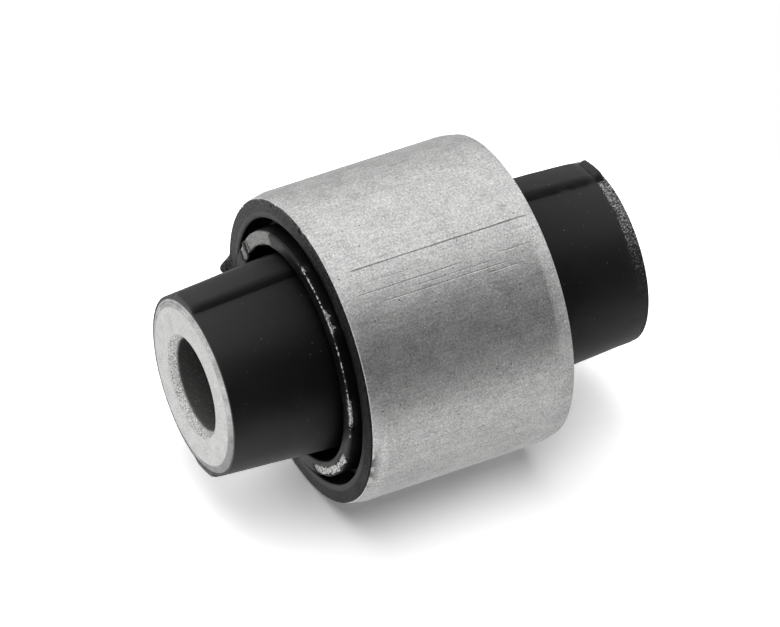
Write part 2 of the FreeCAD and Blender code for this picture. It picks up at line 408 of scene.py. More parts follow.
# Small round dots, one in some cells of a cell pattern. Their radius and soft edge are shares of a cell
def scatterDots(tree, place, cellSize, pickFrom, largest, soft, strength):
    cells = addNode(tree, "ShaderNodeTexVoronoi", {"feature": "F1"}, {"Vector": place, "Scale": 1 / (cellSize * mm)})
    pick = addNode(tree, "ShaderNodeSeparateColor", None, {0: cells.node.outputs["Color"]}, "Red")
    size = addNode(tree, "ShaderNodeMapRange", None,
                   {"Value": pick, "From Min": pickFrom, "From Max": 1.0, "To Max": largest})
    dot = addNode(tree, "ShaderNodeMath", {"operation": "SUBTRACT"}, {0: size, 1: cells})
    return addNode(tree, "ShaderNodeMapRange", None,
                   {"Value": dot, "From Min": 0.0, "From Max": soft, "To Max": strength})


# Ends a material: its relief in millimetres, and what else its surface is given
def finishLook(tree, relief, height, looks):
    bump = addNode(tree, "ShaderNodeBump", None, {"Strength": 1.0, "Distance": relief * mm, "Height": height})
    surface = addNode(tree, "ShaderNodeBsdfPrincipled", None, {"Normal": bump, **looks})
    addNode(tree, "ShaderNodeOutputMaterial", None, {"Surface": surface})


outerSleeve = {"wall": 2.2, "leadIn": 2.0, "leadInDepth": 0.4, "shoulder": 2.0, "edge": 0.13, "steps": 360,
               "grain": 0.26, "mottle": 2.6, "mottleShare": 0.25, "streak": 0.3, "streakShare": 0.13,
               "streakStretch": 0.05, "streakDepth": 0.2, "glintFrom": 0.63, "glintShare": 0.7, "markWidth": 0.11,
               "markFade": 1.5, "markWobble": 0.16, "markDepth": 2.6, "markDull": 0.38, "pitRadius": 0.17,
               "pitDepth": 1.5, "dotCells": 0.95, "dotRadius": 0.13, "dotPick": 0.55, "dotSoft": 0.03, "relief": 0.035,
               "dirtPolar": 204.0, "dirtHalf": 20.0, "dirtReach": 1.5, "dirtSoft": 0.8, "dirtShare": 0.85}

# Draw marks along the sleeve: polar angle, low and high end above the sleeve's lower end, depth
drawMarks = ((125.3, 2.0, 28.6, 0.9), (134.6, 1.5, 17.0, 0.35), (135.2, 22.0, 27.2, 0.4), (139.2, 4.5, 23.5, 0.3),
             (141.0, 19.5, 25.0, 0.35), (131.0, 3.0, 14.0, 0.15), (137.2, 9.0, 22.0, 0.2), (128.0, 12.0, 26.0, 0.15))

# Pits: polar angle and height above the sleeve's lower end
pits = ((180.0, 23.7), (207.5, 20.7), (95.5, 0.9), (195.0, 12.5), (196.0, 6.3), (188.0, 12.0), (117.0, 5.4),
        (109.0, 4.4), (152.0, 9.5), (163.0, 18.2))


# Zinc-plated steel tube, barrelled in bulk: a dull mid grey with a sandy grain, fine marks along the axis and pits
def zincPlatedTube():
    material, tree = blankMaterial("zincPlatedTube")
    place = addNode(tree, "ShaderNodeTexCoord", output="Object")
    grain = addNode(tree, "ShaderNodeTexNoise", None,
                    {"Vector": place, "Scale": 1 / (outerSleeve["grain"] * mm), "Detail": 3.0, "Roughness": 0.7})
    mottle = addNode(tree, "ShaderNodeTexNoise", None,
                     {"Vector": place, "Scale": 1 / (outerSleeve["mottle"] * mm), "Detail": 5.0, "Roughness": 0.65})
    drawn = addNode(tree, "ShaderNodeMapping", {"vector_type": "POINT"},
                    {"Vector": place, "Scale": (1, 1, outerSleeve["streakStretch"])})
    streak = addNode(tree, "ShaderNodeTexNoise", None,
                     {"Vector": drawn, "Scale": 1 / (outerSleeve["streak"] * mm), "Detail": 2.0, "Roughness": 0.5})
    share = addNode(tree, "ShaderNodeMix", {"data_type": "FLOAT"},
                    {0: outerSleeve["mottleShare"], 2: grain, 3: mottle})
    share = addNode(tree, "ShaderNodeMix", {"data_type": "FLOAT"},
                    {0: outerSleeve["streakShare"], 2: share, 3: streak})
    share = addNode(tree, "ShaderNodeMapRange", None, {"Value": share, "From Min": 0.38, "From Max": 0.62})
    colour = addNode(tree, "ShaderNodeMix", {"data_type": "RGBA"},
                     {0: share, 6: linear("#ACADAC"), 7: linear("#EEEEED")}, 2)
    glint = addNode(tree, "ShaderNodeMapRange", None,
                    {"Value": grain, "From Min": outerSleeve["glintFrom"], "From Max": 0.7,
                     "To Max": outerSleeve["glintShare"]})
    colour = addNode(tree, "ShaderNodeMix", {"data_type": "RGBA"}, {0: glint, 6: colour, 7: linear("#FFFFFE")}, 2)
    height = addNode(tree, "ShaderNodeMath", {"operation": "MULTIPLY_ADD"},
                     {0: streak, 1: outerSleeve["streakDepth"], 2: grain})

    # Draw marks: thin grooves that fade at both ends and waver a little
    up = addNode(tree, "ShaderNodeSeparateXYZ", None, {0: place}, "Z")
    wobble = addNode(tree, "ShaderNodeMath", {"operation": "MULTIPLY_ADD"},
                     {0: streak, 1: outerSleeve["markWobble"] * mm, 2: -outerSleeve["markWobble"] / 2 * mm})
    fade = outerSleeve["markFade"]
    for polar, low, high, depth in drawMarks:
        tangent = direction(polar + 90)
        aside = addNode(tree, "ShaderNodeVectorMath", {"operation": "DOT_PRODUCT"}, {0: place, 1: tangent}, "Value")
        aside = addNode(tree, "ShaderNodeMath", {"operation": "ADD"}, {0: aside, 1: wobble})
        aside = addNode(tree, "ShaderNodeMath", {"operation": "ABSOLUTE"}, {0: aside})
        line = addNode(tree, "ShaderNodeMapRange", {"interpolation_type": "SMOOTHSTEP"},
                       {"Value": aside, "From Min": outerSleeve["markWidth"] * mm, "From Max": 0.0, "To Max": depth})
        side = addNode(tree, "ShaderNodeVectorMath", {"operation": "DOT_PRODUCT"},
                       {0: place, 1: direction(polar)}, "Value")
        side = addNode(tree, "ShaderNodeMath", {"operation": "GREATER_THAN"}, {0: side, 1: 0.0})
        foot, head = (sleeveLow + low) * mm, (sleeveLow + high) * mm
        rising = addNode(tree, "ShaderNodeMapRange", None,
                         {"Value": up, "From Min": foot, "From Max": foot + fade * mm})
        falling = addNode(tree, "ShaderNodeMapRange", None,
                          {"Value": up, "From Min": head, "From Max": head - fade * mm})
        for part in (side, rising, falling):
            line = addNode(tree, "ShaderNodeMath", {"operation": "MULTIPLY"}, {0: line, 1: part})
        height = addNode(tree, "ShaderNodeMath", {"operation": "MULTIPLY_ADD"},
                         {0: line, 1: -outerSleeve["markDepth"], 2: height})
        dull = addNode(tree, "ShaderNodeMath", {"operation": "MULTIPLY"}, {0: line, 1: outerSleeve["markDull"]})
        colour = addNode(tree, "ShaderNodeMix", {"data_type": "RGBA"}, {0: dull, 6: colour, 7: linear("#4A4A49")}, 2)

    # Pits: a few at known places, and finer dots, one in some cells of a coarse cell pattern
    nearest = 1.0
    for polar, above in pits:
        centre = direction(polar) * sleeveRadius * mm + Vector((0, 0, (sleeveLow + above) * mm))
        away = addNode(tree, "ShaderNodeVectorMath", {"operation": "DISTANCE"}, {0: place, 1: centre}, "Value")
        nearest = addNode(tree, "ShaderNodeMath", {"operation": "MINIMUM"}, {0: away, 1: nearest})
    pit = addNode(tree, "ShaderNodeMapRange", {"interpolation_type": "SMOOTHSTEP"},
                  {"Value": nearest, "From Min": outerSleeve["pitRadius"] * mm, "From Max": 0.0})
    dot = scatterDots(tree, place, outerSleeve["dotCells"], outerSleeve["dotPick"], outerSleeve["dotRadius"],
                      outerSleeve["dotSoft"], 1.0)
    pit = addNode(tree, "ShaderNodeMath", {"operation": "MAXIMUM"}, {0: pit, 1: dot})
    colour = addNode(tree, "ShaderNodeMix", {"data_type": "RGBA"}, {0: pit, 6: colour, 7: linear("#4C4C4B")}, 2)
    height = addNode(tree, "ShaderNodeMath", {"operation": "MULTIPLY_ADD"},
                     {0: pit, 1: -outerSleeve["pitDepth"], 2: height})

    # Dirt on the lower lead-in, on one side
    reach = sleeveRadius * math.cos(math.radians(outerSleeve["dirtHalf"])) * mm
    side = fadeTowards(tree, place, outerSleeve["dirtPolar"],
                       {"From Min": reach, "From Max": reach + outerSleeve["dirtSoft"] * mm})
    lip = addNode(tree, "ShaderNodeMapRange", None,
                  {"Value": up, "From Min": (sleeveLow + outerSleeve["dirtReach"]) * mm, "From Max": sleeveLow * mm})
    dirt = addNode(tree, "ShaderNodeMath", {"operation": "MULTIPLY"}, {0: side, 1: lip})
    spots = addNode(tree, "ShaderNodeMapRange", None,
                    {"Value": mottle, "From Min": 0.47, "From Max": 0.56, "To Max": outerSleeve["dirtShare"]})
    dirt = addNode(tree, "ShaderNodeMath", {"operation": "MULTIPLY"}, {0: dirt, 1: spots})
    colour = addNode(tree, "ShaderNodeMix", {"data_type": "RGBA"}, {0: dirt, 6: colour, 7: linear("#383837")}, 2)

    rough = addNode(tree, "ShaderNodeMapRange", None, {"Value": mottle, "To Min": 0.34, "To Max": 0.48})
    finishLook(tree, outerSleeve["relief"], height, {"Metallic": 1.0, "Base Color": colour, "Roughness": rough})
    return material


def makeOuterSleeve():
    inside = sleeveRadius - outerSleeve["wall"]
    tip = sleeveRadius - outerSleeve["leadInDepth"]
    lead, edge, shoulder = outerSleeve["leadIn"], outerSleeve["edge"], outerSleeve["shoulder"]
    corners = [(inside, sleeveLow, edge), (tip, sleeveLow, edge), (sleeveRadius, sleeveLow + lead, shoulder, 1.5),
               (sleeveRadius, sleeveHigh - lead, shoulder), (tip, sleeveHigh, edge), (inside, sleeveHigh, edge)]
    piece = turn("outerSleeve", corners, {"Steps": outerSleeve["steps"], "Finish": zincPlatedTube()})
    finishPiece(piece, "outer_sleeve")


makeOuterSleeve()

innerSleeve = {"bore": 12.4, "mouth": 14.2, "countersink": 1.2, "flat": 21.3, "bevel": 0.3, "tube": 23.5,
               "spreadLength": 1.9, "edge": 0.12, "steps": 256, "grain": 0.26, "mottle": 2.0, "mottleShare": 0.3,
               "spark": 0.16, "sparkDepth": 2.5, "boreMetal": 0.35, "speckSize": 0.24, "coverDepth": 2.0,
               "wearPolar": 95.0, "scuffPolar": 20.0, "scuffPitch": 0.22, "bevelShadePolar": 228.0, "relief": 0.03}


# Zinc-plated steel ends, cut and barrelled: pale, matte and grainy. The bore got little plating and is dull
def zincPlatedEnd():
    material, tree = blankMaterial("zincPlatedEnd")
    place, up, radius, outwards = placesOf(tree)
    grain = addNode(tree, "ShaderNodeTexNoise", None,
                    {"Vector": place, "Scale": 1 / (innerSleeve["grain"] * mm), "Detail": 3.0, "Roughness": 0.7})
    mottle = addNode(tree, "ShaderNodeTexNoise", None,
                     {"Vector": place, "Scale": 1 / (innerSleeve["mottle"] * mm), "Detail": 3.0, "Roughness": 0.6})
    share = addNode(tree, "ShaderNodeMix", {"data_type": "FLOAT"},
                    {0: innerSleeve["mottleShare"], 2: grain, 3: mottle})
    share = addNode(tree, "ShaderNodeMapRange", None, {"Value": share, "From Min": 0.36, "From Max": 0.64})
    colour = addNode(tree, "ShaderNodeMix", {"data_type": "RGBA"},
                     {0: share, 6: linear("#B4B4B3"), 7: linear("#E8E8E7")}, 2)
    height = grain

    # Scuffs round the bevel, where the end was rolled about
    scuff = addNode(tree, "ShaderNodeTexNoise", {"noise_dimensions": "1D"},
                    {"W": radius, "Scale": 1 / (innerSleeve["scuffPitch"] * mm), "Detail": 2.0})
    scuff = addNode(tree, "ShaderNodeMath", {"operation": "MULTIPLY_ADD"}, {0: mottle, 1: 0.5, 2: scuff})
    side = fadeTowards(tree, outwards, innerSleeve["scuffPolar"],
                       {"From Min": -0.6, "From Max": 0.6, "To Min": -0.14, "To Max": 0.05})
    onBevel = addNode(tree, "ShaderNodeMapRange", None,
                      {"Value": radius, "From Min": (innerSleeve["flat"] / 2 - 0.3) * mm,
                       "From Max": (innerSleeve["flat"] / 2 + 0.1) * mm, "To Min": -0.3, "To Max": 0.0})
    for part in (side, onBevel):
        scuff = addNode(tree, "ShaderNodeMath", {"operation": "ADD"}, {0: scuff, 1: part})
    scuff = addNode(tree, "ShaderNodeMapRange", None,
                    {"Value": scuff, "From Min": 0.78, "From Max": 0.9, "To Max": 0.4})

    # Bevel: scraped duller than the face, and darker on one side with painted shade
    onBevel = addNode(tree, "ShaderNodeMapRange", None,
                      {"Value": radius, "From Min": (innerSleeve["flat"] / 2 - 0.05) * mm,
                       "From Max": (innerSleeve["flat"] / 2 + 0.15) * mm})
    scraped = addNode(tree, "ShaderNodeMapRange", None,
                      {"Value": mottle, "From Min": 0.4, "From Max": 0.62, "To Min": 0.05, "To Max": 0.5})
    scraped = addNode(tree, "ShaderNodeMath", {"operation": "MULTIPLY"}, {0: onBevel, 1: scraped})
    # Painted shade: darker towards one side of the bevel
    bevelShade = fadeTowards(tree, outwards, innerSleeve["bevelShadePolar"], {"From Min": 0.55, "From Max": 0.85, "To Max": 0.5})
    bevelShade = addNode(tree, "ShaderNodeMath", {"operation": "MULTIPLY"}, {0: bevelShade, 1: onBevel})
    for cover, grey in ((scuff, "#4C4C4B"), (scraped, "#6E6E6D"), (bevelShade, "#555554")):
        colour = addNode(tree, "ShaderNodeMix", {"data_type": "RGBA"}, {0: cover, 6: colour, 7: linear(grey)}, 2)

    # Countersink: turned, so its grains sparkle
    mouth, bore = innerSleeve["mouth"] / 2 * mm, innerSleeve["bore"] / 2 * mm
    inSink = addNode(tree, "ShaderNodeMapRange", None,
                     {"Value": radius, "From Min": mouth + 0.05 * mm, "From Max": mouth - 0.1 * mm})
    spark = addNode(tree, "ShaderNodeTexNoise", None,
                    {"Vector": place, "Scale": 1 / (innerSleeve["spark"] * mm), "Detail": 2.0, "Roughness": 0.8})
    shine = addNode(tree, "ShaderNodeMapRange", None, {"Value": spark, "From Min": 0.4, "From Max": 0.6})
    shine = addNode(tree, "ShaderNodeMix", {"data_type": "RGBA"},
                    {0: shine, 6: linear("#8E8E8D"), 7: linear("#F6F6F5")}, 2)
    colour = addNode(tree, "ShaderNodeMix", {"data_type": "RGBA"}, {0: inSink, 6: colour, 7: shine}, 2)
    spark = addNode(tree, "ShaderNodeMath", {"operation": "MULTIPLY"}, {0: spark, 1: inSink})
    height = addNode(tree, "ShaderNodeMath", {"operation": "MULTIPLY_ADD"},
                     {0: spark, 1: innerSleeve["sparkDepth"], 2: height})

    # Bore: a dull grey with small glints
    inBore = addNode(tree, "ShaderNodeMapRange", None,
                     {"Value": radius, "From Min": bore + 0.2 * mm, "From Max": bore + 0.05 * mm})
    glint = addNode(tree, "ShaderNodeMapRange", None, {"Value": grain, "From Min": 0.6, "From Max": 0.75})
    dull = addNode(tree, "ShaderNodeMix", {"data_type": "RGBA"},
                   {0: glint, 6: linear("#6C6B6A"), 7: linear("#D4D4D2")}, 2)
    colour = addNode(tree, "ShaderNodeMix", {"data_type": "RGBA"}, {0: inBore, 6: colour, 7: dull}, 2)
    metal = addNode(tree, "ShaderNodeMapRange", None,
                    {"Value": inBore, "To Min": 1.0, "To Max": innerSleeve["boreMetal"]})

    # Spread end: worn rubber between bare specks, thicker away from the worn side
    onBand = addNode(tree, "ShaderNodeMath", {"operation": "GREATER_THAN"},
                     {0: up, 1: (tubeHigh - innerSleeve["spreadLength"] - 0.1) * mm})
    outside = addNode(tree, "ShaderNodeMath", {"operation": "GREATER_THAN"},
                      {0: radius, 1: (innerSleeve["tube"] / 2 + 0.05) * mm})
    left = addNode(tree, "ShaderNodeTexNoise", None,
                   {"Vector": place, "Scale": 1 / (innerSleeve["speckSize"] * mm), "Detail": 4.0, "Roughness": 0.75})
    wearAndEdgeHighlight = fadeTowards(tree, outwards, innerSleeve["wearPolar"], {"From Min": 0.85, "From Max": 0.1, "To Max": 0.16})
    left = addNode(tree, "ShaderNodeMath", {"operation": "ADD"}, {0: left, 1: wearAndEdgeHighlight})
    left = addNode(tree, "ShaderNodeMapRange", None, {"Value": left, "From Min": 0.44, "From Max": 0.54})
    for part in (onBand, outside):
        left = addNode(tree, "ShaderNodeMath", {"operation": "MULTIPLY"}, {0: left, 1: part})
    colour = addNode(tree, "ShaderNodeMix", {"data_type": "RGBA"}, {0: left, 6: colour, 7: linear("#101010")}, 2)
    bare = addNode(tree, "ShaderNodeMath", {"operation": "SUBTRACT"}, {0: 1.0, 1: left})
    metal = addNode(tree, "ShaderNodeMath", {"operation": "MULTIPLY"}, {0: metal, 1: bare})
    height = addNode(tree, "ShaderNodeMath", {"operation": "MULTIPLY_ADD"},
                     {0: left, 1: innerSleeve["coverDepth"], 2: height})

    rough = addNode(tree, "ShaderNodeMapRange", None, {"Value": mottle, "To Min": 0.42, "To Max": 0.58})
    finishLook(tree, innerSleeve["relief"], height, {"Metallic": metal, "Base Color": colour, "Roughness": rough})
    return material


def makeInnerSleeve():
    bore, mouth, flat = innerSleeve["bore"] / 2, innerSleeve["mouth"] / 2, innerSleeve["flat"] / 2
    tube, bevel = innerSleeve["tube"] / 2, innerSleeve["bevel"]
    edge, sink = innerSleeve["edge"], innerSleeve["countersink"]
    spreadLow = tubeHigh - innerSleeve["spreadLength"]
    corners = [(bore, sink, edge), (mouth, tubeLow, edge), (flat, tubeLow, edge), (tube, bevel, edge),
               (tube, spreadLow, 0), (spreadRadius, spreadLow, 0), (spreadRadius, tubeHigh - bevel, edge),
               (flat, tubeHigh, edge), (mouth, tubeHigh, edge), (bore, tubeHigh - sink, edge)]
    piece = turn("innerSleeve", corners, {"Steps": innerSleeve["steps"], "Finish": zincPlatedEnd()})
    finishPiece(piece, "inner_sleeve")


makeInnerSleeve()

ring = {"wall": 1.8, "edge": 0.2, "seamWidth": 0.35, "seamPolar": 43.0, "steps": 360, "grain": 0.42, "speck": 0.17,
        "speckShare": 0.5, "litSidePolar": 190.0, "roughness": 0.45, "relief": 0.05}


# Rolled steel strip, bonded in the mould: a rough mid grey with bonding agent on it, with painted highlight and shade
# on one side, where its pale specks are lighter and its dark parts darker
def rolledRingSteel():
    material, tree = blankMaterial("rolledRingSteel")
    place = addNode(tree, "ShaderNodeTexCoord", output="Object")
    grain = addNode(tree, "ShaderNodeTexNoise", None,
                    {"Vector": place, "Scale": 1 / (ring["grain"] * mm), "Detail": 4.0, "Roughness": 0.7})
    speck = addNode(tree, "ShaderNodeTexNoise", None,
                    {"Vector": place, "Scale": 1 / (ring["speck"] * mm), "Detail": 2.0, "Roughness": 0.6})
    # Painted highlight and shade: more contrast towards one side
    paintedSideLight = fadeTowards(tree, place, ring["litSidePolar"],
                         {"From Min": -0.2 * ringOuter * mm, "From Max": 0.7 * ringOuter * mm})
    share = addNode(tree, "ShaderNodeMix", {"data_type": "FLOAT"}, {0: ring["speckShare"], 2: grain, 3: speck})
    share = addNode(tree, "ShaderNodeMapRange", None, {"Value": share, "From Min": 0.4, "From Max": 0.58})
    dark = addNode(tree, "ShaderNodeMix", {"data_type": "RGBA"},
                   {0: paintedSideLight, 6: linear("#5E5E5D"), 7: linear("#2C2C2B")}, 2)
    bright = addNode(tree, "ShaderNodeMix", {"data_type": "RGBA"},
                     {0: paintedSideLight, 6: linear("#A4A4A2"), 7: linear("#FAFAF8")}, 2)
    colour = addNode(tree, "ShaderNodeMix", {"data_type": "RGBA"}, {0: share, 6: dark, 7: bright}, 2)
    finishLook(tree, ring["relief"], share, {"Metallic": 1.0, "Base Color": colour, "Roughness": ring["roughness"]})
    return material


def makeRing():
    inside, edge = ringOuter - ring["wall"], ring["edge"]
    corners = [(inside, ringLow, edge), (ringOuter, ringLow, edge), (ringOuter, ringHigh, edge),
               (inside, ringHigh, edge)]
    gap = ring["seamWidth"] / (ringOuter - ring["wall"] / 2)
    start = math.radians(ring["seamPolar"]) + gap / 2
    piece = turn("intermediateRing", corners,
                 {"Steps": ring["steps"], "Start": start, "Sweep": math.tau - gap, "Finish": rolledRingSteel()})
    finishPiece(piece, "intermediate_ring")


makeRing()

rubber = {"film": 0.27, "skin": 0.15, "lining": 0.8, "filmRadius": 20.5, "farFilmTop": 19.8, "farFilmFoot": 20.3,
          "endLow": 12.1, "endHigh": 12.35, "root": 13.15, "innerGroove": 5.0, "outerGroove": 4.0, "edge": 0.12,
          "crestEdge": 0.35, "grooveEdge": 0.5, "liningEdge": 0.25, "ribHeight": 0.85, "ribHalf": 13.5,
          "ribLean": 2.5, "ribFlat": 9.0, "ribEnd": 0.4, "ribFloorGap": 1.2, "coatSlack": 0.3, "coatStep": 0.02,
          "underSpread": 0.12, "steps": 420, "waveHeight": 0.07, "waveSize": 5.0, "seed": 3.0,
          "grain": 0.3, "cloud": 4.0, "filmGrain": 0.34, "filmInner": 18.8, "filmDepth": 5.5, "filmRougher": 0.12,
          "sheenPolar": 40.0, "dustCells": 0.7, "dustSize": 0.14, "dustPick": 0.5, "dustSoft": 0.04, "dustShare": 0.45,
          "hairline": 0.12, "hairInside": 0.3, "hairPolar": 152.0, "hairHalf": 47.0, "hairSize": 0.45,
          "relief": 0.012, "recessShadeFrom": 14.0, "recessShadeShine": 0.2, "endShine": 0.45}

# Places where the skin is torn off the ring's lower end: polar centre, half width, and which part of the crest,
# from -1 at its inner wall to 1 at its outer wall
lowerTears = ((58.0, 18.0, -1.2, 1.2), (34.0, 3.0, -0.8, 1.2), (110.0, 1.7, 0.5, 1.1), (138.0, 6.5, 0.45, 1.5),
              (182.0, 8.0, 0.3, 1.1), (235.0, 23.0, -0.25, 0.8))
upperTears = ((54.0, 18.0, -1.2, 1.2), (234.0, 21.0, -0.8, 0.9))


# Moulded natural rubber filled with carbon black: satin black with a soft sheen, dust specks and a rough end film
def mouldedRubber():
    material, tree = blankMaterial("mouldedRubber")
    place, up, radius, outwards = placesOf(tree)
    grain = addNode(tree, "ShaderNodeTexNoise", None,
                    {"Vector": place, "Scale": 1 / (rubber["grain"] * mm), "Detail": 3.0, "Roughness": 0.6})
    cloud = addNode(tree, "ShaderNodeTexNoise", None,
                    {"Vector": place, "Scale": 1 / (rubber["cloud"] * mm), "Detail": 4.0, "Roughness": 0.6})
    colour = addNode(tree, "ShaderNodeMix", {"data_type": "RGBA"},
                     {0: cloud, 6: linear("#060606"), 7: linear("#101010")}, 2)

    # Film over the sleeve's end: rough, with grey specks, and painted sheen that makes it lighter on one side
    film = addNode(tree, "ShaderNodeMapRange", None,
                   {"Value": radius, "From Min": (rubber["filmInner"] - 0.1) * mm,
                    "From Max": (rubber["filmInner"] + 0.2) * mm})
    speck = addNode(tree, "ShaderNodeTexNoise", None,
                    {"Vector": place, "Scale": 1 / (rubber["filmGrain"] * mm), "Detail": 4.0, "Roughness": 0.75})
    broken = addNode(tree, "ShaderNodeMapRange", None,
                     {"Value": speck, "From Min": 0.4, "From Max": 0.58, "To Min": 0.3, "To Max": 1.0})
    speck = addNode(tree, "ShaderNodeMapRange", None, {"Value": speck, "From Min": 0.46, "From Max": 0.66})
    speck = addNode(tree, "ShaderNodeMath", {"operation": "MULTIPLY"}, {0: speck, 1: film})
    # Painted sheen: the specks are paler towards one side
    pale = fadeTowards(tree, outwards, rubber["sheenPolar"],
                       {"From Min": -0.2, "From Max": 0.9, "To Min": 0.12, "To Max": 1.0})
    pale = addNode(tree, "ShaderNodeMath", {"operation": "MULTIPLY"}, {0: pale, 1: speck})
    # Painted sheen: a grey film towards the same side
    paintedSideLight = fadeTowards(tree, outwards, rubber["sheenPolar"], {"From Min": 0.2, "From Max": 0.95, "To Max": 0.85})
    onFace = addNode(tree, "ShaderNodeMapRange", None,
                     {"Value": radius, "From Min": (rubber["filmInner"] - 0.6) * mm,
                      "From Max": (rubber["filmInner"] + 0.1) * mm})
    for part in (onFace, broken):
        paintedSideLight = addNode(tree, "ShaderNodeMath", {"operation": "MULTIPLY"}, {0: paintedSideLight, 1: part})

    # Dust: small pale dots, one in some cells
    dust = scatterDots(tree, place, rubber["dustCells"], rubber["dustPick"], rubber["dustSize"], rubber["dustSoft"],
                       rubber["dustShare"])

    # Outer edge of the crest at the lower end, on one side: a painted highlight, drawn as a hairline of bright steel
    inwards = rubber["hairInside"] * rubber["crestEdge"]
    corner = (ringOuter + rubber["skin"] - inwards) * mm
    crest = (ringLow - rubber["skin"] + inwards) * mm
    across = addNode(tree, "ShaderNodeMath", {"operation": "SUBTRACT"}, {0: radius, 1: corner})
    above = addNode(tree, "ShaderNodeMath", {"operation": "SUBTRACT"}, {0: up, 1: crest})
    away = addNode(tree, "ShaderNodeCombineXYZ", None, {0: across, 1: above})
    away = addNode(tree, "ShaderNodeVectorMath", {"operation": "LENGTH"}, {0: away}, "Value")
    width = addNode(tree, "ShaderNodeTexNoise", None,
                    {"Vector": place, "Scale": 1 / (rubber["hairSize"] * mm), "Detail": 2.0})
    width = addNode(tree, "ShaderNodeMapRange", None,
                    {"Value": width, "From Min": 0.44, "From Max": 0.62, "To Max": rubber["hairline"] * mm})
    wearAndEdgeHighlight = addNode(tree, "ShaderNodeMath", {"operation": "SUBTRACT"}, {0: width, 1: away})
    wearAndEdgeHighlight = addNode(tree, "ShaderNodeMapRange", None, {"Value": wearAndEdgeHighlight, "From Min": 0.0, "From Max": 0.03 * mm})
    # The painted highlight keeps to one side of the edge
    reach = math.cos(math.radians(rubber["hairHalf"]))
    side = fadeTowards(tree, outwards, rubber["hairPolar"], {"From Min": reach, "From Max": reach + 0.05})
    wearAndEdgeHighlight = addNode(tree, "ShaderNodeMath", {"operation": "MULTIPLY"}, {0: wearAndEdgeHighlight, 1: side})
    for cover, grey in ((pale, "#7C7C7B"), (paintedSideLight, "#70706F"), (dust, "#8A8A88"), (wearAndEdgeHighlight, "#C2C2C0")):
        colour = addNode(tree, "ShaderNodeMix", {"data_type": "RGBA"}, {0: cover, 6: colour, 7: linear(grey)}, 2)

    height = addNode(tree, "ShaderNodeMath", {"operation": "MULTIPLY_ADD"},
                     {0: speck, 1: rubber["filmDepth"], 2: grain})
    rough = addNode(tree, "ShaderNodeMapRange", None, {"Value": cloud, "To Min": 0.36, "To Max": 0.50})
    rough = addNode(tree, "ShaderNodeMath", {"operation": "MULTIPLY_ADD", "use_clamp": True},
                    {0: film, 1: rubber["filmRougher"], 2: rough})

    # The skin shines a little more near the ends and less near the recesses: painted shade there
    away = addNode(tree, "ShaderNodeMath", {"operation": "SUBTRACT"}, {0: up, 1: middle * mm})
    away = addNode(tree, "ShaderNodeMath", {"operation": "ABSOLUTE"}, {0: away})
    shine = addNode(tree, "ShaderNodeMapRange", None,
                    {"Value": away, "From Min": rubber["recessShadeFrom"] * mm, "From Max": middle * mm,
                     "To Min": rubber["recessShadeShine"], "To Max": rubber["endShine"]})
    finishLook(tree, rubber["relief"], height,
               {"Specular IOR Level": shine, "Base Color": colour, "Metallic": wearAndEdgeHighlight, "Roughness": rough})
    return material


# Smooth step from 0 at low to 1 at high, on arrays
def ease(values, low, high):
    t = np.clip((values - low) / (high - low), 0, 1)
    return t * t * (3 - 2 * t)


# Gradient noise at points given in millimetres, with features of one size
def noiseAt(points, size, seed):
    return np.array([noise.noise(Vector(p) / size + Vector((seed, 0, 0))) for p in points])


# How the skin tears: how far down the walls, its ragged edge, how far it sinks under the steel, and slack for waves
tearing = {"reach": 1.6, "fullTo": 0.3, "coarse": 0.9, "fine": 0.3, "fineShare": 0.5, "raggedSide": 0.35,
           "raggedEnd": 2.2, "under": 0.06, "slack": 0.05}


# Tears the skin off the ring in places: the skin sinks just under the steel, and noise breaks up its edge
def tearSkin(co, normals, faceHeight, sign, tears, seed):
    radius = np.hypot(co[:, 0], co[:, 1])
    depth = (co[:, 2] - faceHeight) * sign
    inner, outer = ringOuter - ring["wall"] - rubber["skin"], ringOuter + rubber["skin"]
    slack = tearing["slack"]
    near = np.where((radius > inner - slack) & (radius < outer + slack) & (depth < tearing["reach"]))[0]
    polar = np.degrees(np.arctan2(co[near, 1], co[near, 0]))
    narrowing = 1 + np.clip(depth[near] - tearing["fullTo"], 0, 2)
    across = (radius[near] - (inner + outer) / 2) / ((outer - inner) / 2) * narrowing
    broken = noiseAt(co[near], tearing["coarse"], seed)
    broken = broken + tearing["fineShare"] * noiseAt(co[near], tearing["fine"], seed + 9)
    across += broken * tearing["raggedSide"]
    torn = np.zeros(len(near))
    for centre, half, low, high in tears:
        away = np.abs((polar - centre + 180) % 360 - 180)
        along = 1 - ease(away + broken * tearing["raggedEnd"], half - 1.2, half + 0.6)
        side = ease(across, low - 0.1, low + 0.15) * (1 - ease(across, high - 0.1, high + 0.15))
        torn = np.maximum(torn, along * side)
    co[near] -= normals[near] * (torn * (rubber["skin"] + tearing["under"]))[:, None]


# Flash and worn edges of the moulding: polar angles in degrees, lengths in millimetres
flash = {"filmBand": 0.4, "tonguePolar": 8.0, "tongueHalf": 5.5, "tongueLength": 1.4, "tongueFrom": 19.4,
         "frayPolar": 75.0, "frayHalf": 36.0, "fraySoft": 8.0, "fray": 0.6, "fraySize": 0.45, "frayWidth": 0.7,
         "coatEdgeStart": 145.0, "coatEdgeFull": 215.0, "coatReach": 0.9, "coatRagged": 0.3, "coatBand": 0.2,
         "raggedCoarse": 1.1, "raggedFine": 0.4, "fineShare": 0.6, "tipFrom": 57.4, "tipRadius": 13.0,
         "dipHeight": 58.5, "dip": 0.14, "bumpHeight": 59.3, "bump": 0.1, "bumpSpan": 0.5, "ribMargin": 2.0,
         "ribLump": 0.12, "lumpSize": 1.1}


